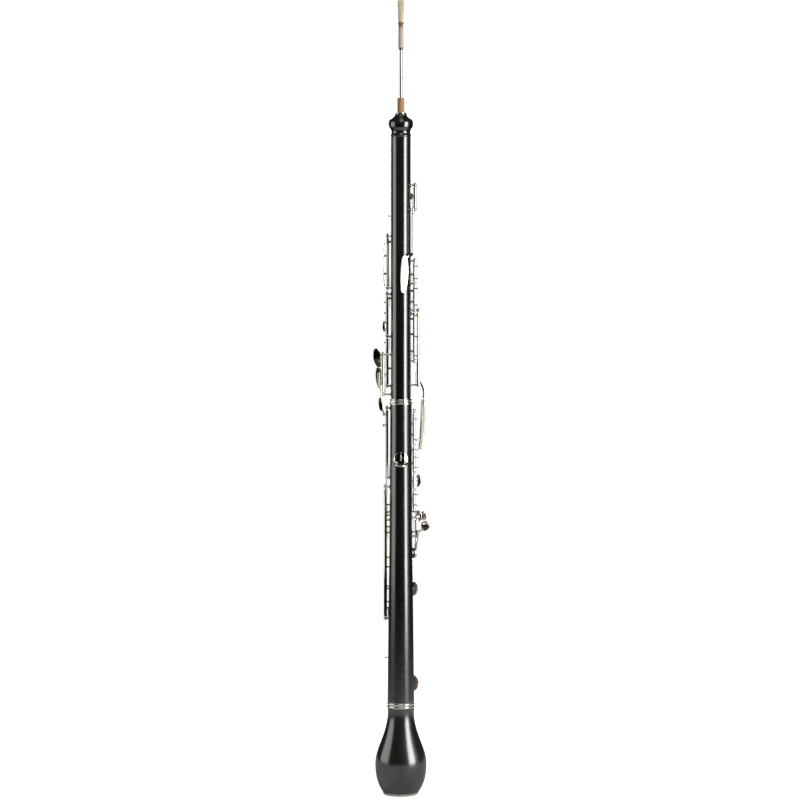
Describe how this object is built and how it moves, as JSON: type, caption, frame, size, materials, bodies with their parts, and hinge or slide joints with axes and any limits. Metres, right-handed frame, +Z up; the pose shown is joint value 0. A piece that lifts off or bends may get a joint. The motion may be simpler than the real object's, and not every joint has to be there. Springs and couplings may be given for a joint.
{
  "type": "oboe",
  "caption": "Alto double-reed woodwind with a pear-shaped bell, a bent metal crook, a cane reed and sprung side and front keywork.",
  "frame": {"origin": "centre of the bell's mouth, in the plane that the bell stands on", "axes": "+Z up the bore towards the reed, +Y the front where the finger plates are, -Y the back where the thumbs go, +X the player's right"},
  "size_m": [0.0667, 0.0609, 0.9292],
  "materials": {
    "blackwood": "oiled and polished, near black",
    "silver_plate": "polished silver plate",
    "steel": "blued and polished",
    "brass": "drawn",
    "cork": "matte",
    "cane": "satin, scraped",
    "thread": "waxed silk",
    "pad": "satin skin"
  },
  "bodies": {
    "body": {"bell": "blackwood", "bell_rim_ring": "silver_plate", "bell_socket_ring": "silver_plate", "bell_tenon_cork": "cork", "bocal_cork": "cork", "bocal_receiver": "silver_plate", "bocal_tube": "silver_plate", "lower_joint": "blackwood", "lower_tenon_ring": "silver_plate", "middle_socket_ring": "silver_plate", "middle_tenon_cork": "cork", "posts_lower": "silver_plate", "posts_upper": "silver_plate", "reed_blades": "cane", "reed_staple": "brass", "reed_thread": "thread", "reed_wire": "brass", "rods_lower": "steel", "rods_upper": "steel", "springs_lower": "steel", "springs_upper": "steel", "strap_ring": "silver_plate", "thumb_rest": "silver_plate", "thumb_rest_screws": "steel", "upper_joint": "blackwood", "upper_tenon_ring": "silver_plate"},
    "first_octave_key": {"first_octave_key": "silver_plate", "first_octave_pads": "pad"},
    "second_octave_key": {"second_octave_key": "silver_plate", "second_octave_pads": "pad"},
    "b_key": {"b_key": "silver_plate", "b_pads": "pad"},
    "a_key": {"a_key": "silver_plate", "a_pads": "pad"},
    "g_key": {"g_key": "silver_plate", "g_pads": "pad"},
    "c_trill_key": {"c_trill_key": "silver_plate", "c_trill_pads": "pad"},
    "d_trill_key": {"d_trill_key": "silver_plate", "d_trill_pads": "pad"},
    "g_sharp_key": {"g_sharp_key": "silver_plate", "g_sharp_pads": "pad"},
    "left_b_lever": {"left_b_lever": "silver_plate"},
    "b_link": {"b_link": "silver_plate"},
    "f_sharp_key": {"f_sharp_key": "silver_plate", "f_sharp_pads": "pad"},
    "e_key": {"e_key": "silver_plate", "e_pads": "pad"},
    "f_key": {"f_key": "silver_plate", "f_pads": "pad"},
    "d_key": {"d_key": "silver_plate", "d_pads": "pad"},
    "e_flat_key": {"e_flat_key": "silver_plate", "e_flat_pads": "pad"},
    "c_sharp_key": {"c_sharp_key": "silver_plate", "c_sharp_pads": "pad"},
    "c_key": {"c_key": "silver_plate", "c_pads": "pad"},
    "low_b_key": {"low_b_key": "silver_plate", "low_b_pads": "pad"}
  },
  "joints": [
    {"name": "first_octave_key_hinge", "type": "hinge", "parent": "body", "child": "first_octave_key", "pos_m": [0.01631, -0.00171, 0.703], "axis": [0, 0, -1], "range_deg": [0, 6], "stiffness_Nm_per_rad": 0.01, "springref_deg": -40.11},
    {"name": "second_octave_key_hinge", "type": "hinge", "parent": "body", "child": "second_octave_key", "pos_m": [-0.01559, 0.009, 0.6273], "axis": [0, 0, 1], "range_deg": [0, 7], "stiffness_Nm_per_rad": 0.01, "springref_deg": -40.11},
    {"name": "b_key_hinge", "type": "hinge", "parent": "body", "child": "b_key", "pos_m": [0.01584, 0.00424, 0.61575], "axis": [0, 0, 1], "range_deg": [0, 8.55], "stiffness_Nm_per_rad": 0.01, "springref_deg": -40.11},
    {"name": "a_key_hinge", "type": "hinge", "parent": "body", "child": "a_key", "pos_m": [0.01584, 0.00424, 0.587], "axis": [0, 0, 1], "range_deg": [0, 8.55], "stiffness_Nm_per_rad": 0.01, "springref_deg": -40.11},
    {"name": "g_key_hinge", "type": "hinge", "parent": "body", "child": "g_key", "pos_m": [0.01584, 0.00424, 0.54175], "axis": [0, 0, 1], "range_deg": [0, 8.55], "stiffness_Nm_per_rad": 0.01, "springref_deg": -40.11},
    {"name": "c_trill_key_hinge", "type": "hinge", "parent": "body", "child": "c_trill_key", "pos_m": [0.02019, 0.00541, 0.52775], "axis": [0, 0, -1], "range_deg": [0, 9], "stiffness_Nm_per_rad": 0.01, "springref_deg": -40.11},
    {"name": "d_trill_key_hinge", "type": "hinge", "parent": "body", "child": "d_trill_key", "pos_m": [-0.01603, 0.0043, 0.5658], "axis": [0, 0, 1], "range_deg": [0, 8], "stiffness_Nm_per_rad": 0.01, "springref_deg": -40.11},
    {"name": "g_sharp_key_hinge", "type": "hinge", "parent": "body", "child": "g_sharp_key", "pos_m": [-0.01603, 0.0043, 0.512], "axis": [0, 0, 1], "range_deg": [0, 8], "stiffness_Nm_per_rad": 0.01, "springref_deg": -40.11},
    {"name": "left_b_lever_hinge", "type": "hinge", "parent": "body", "child": "left_b_lever", "pos_m": [-0.021, 0, 0.49675], "axis": [0, 0, 1], "range_deg": [0, 13], "stiffness_Nm_per_rad": 0.01, "springref_deg": -40.11},
    {"name": "b_link_hinge", "type": "hinge", "parent": "body", "child": "b_link", "pos_m": [-0.01634, 0.0023, 0.41625], "axis": [0, 0, -1], "range_deg": [0, 6.5], "stiffness_Nm_per_rad": 0.01, "springref_deg": -40.11},
    {"name": "f_sharp_key_hinge", "type": "hinge", "parent": "body", "child": "f_sharp_key", "pos_m": [0.01541, 0.00785, 0.43315], "axis": [0, 0, 1], "range_deg": [0, 8.55], "stiffness_Nm_per_rad": 0.01, "springref_deg": -40.11},
    {"name": "e_key_hinge", "type": "hinge", "parent": "body", "child": "e_key", "pos_m": [0.01541, 0.00785, 0.39735], "axis": [0, 0, 1], "range_deg": [0, 8.55], "stiffness_Nm_per_rad": 0.01, "springref_deg": -40.11},
    {"name": "f_key_hinge", "type": "hinge", "parent": "body", "child": "f_key", "pos_m": [0.01541, 0.00785, 0.37075], "axis": [0, 0, -1], "range_deg": [0, 9], "stiffness_Nm_per_rad": 0.01, "springref_deg": -40.11},
    {"name": "d_key_hinge", "type": "hinge", "parent": "body", "child": "d_key", "pos_m": [0.01541, 0.00785, 0.3485], "axis": [0, 0, 1], "range_deg": [0, 8.55], "stiffness_Nm_per_rad": 0.01, "springref_deg": -40.11},
    {"name": "e_flat_key_hinge", "type": "hinge", "parent": "body", "child": "e_flat_key", "pos_m": [0.01822, 0.00256, 0.3175], "axis": [0, 0, -1], "range_deg": [0, 8], "stiffness_Nm_per_rad": 0.01, "springref_deg": -40.11},
    {"name": "c_sharp_key_hinge", "type": "hinge", "parent": "body", "child": "c_sharp_key", "pos_m": [-0.01799, 0.00727, 0.33], "axis": [0, 0, -1], "range_deg": [0, 6], "stiffness_Nm_per_rad": 0.01, "springref_deg": -40.11},
    {"name": "c_key_hinge", "type": "hinge", "parent": "body", "child": "c_key", "pos_m": [-0.01799, 0.00727, 0.2725], "axis": [0, 0, -1], "range_deg": [0, 6], "stiffness_Nm_per_rad": 0.01, "springref_deg": -40.11},
    {"name": "low_b_key_hinge", "type": "hinge", "parent": "body", "child": "low_b_key", "pos_m": [-0.0181, 0.0019, 0.28675], "axis": [0, 0, -1], "range_deg": [0, 6.5], "stiffness_Nm_per_rad": 0.01, "springref_deg": -40.11}
  ],
  "couplings": [
    {"joint": "left_b_lever_hinge", "follows": "low_b_key_hinge", "ratio": 2},
    {"joint": "b_link_hinge", "follows": "low_b_key_hinge", "ratio": 1}
  ]
}
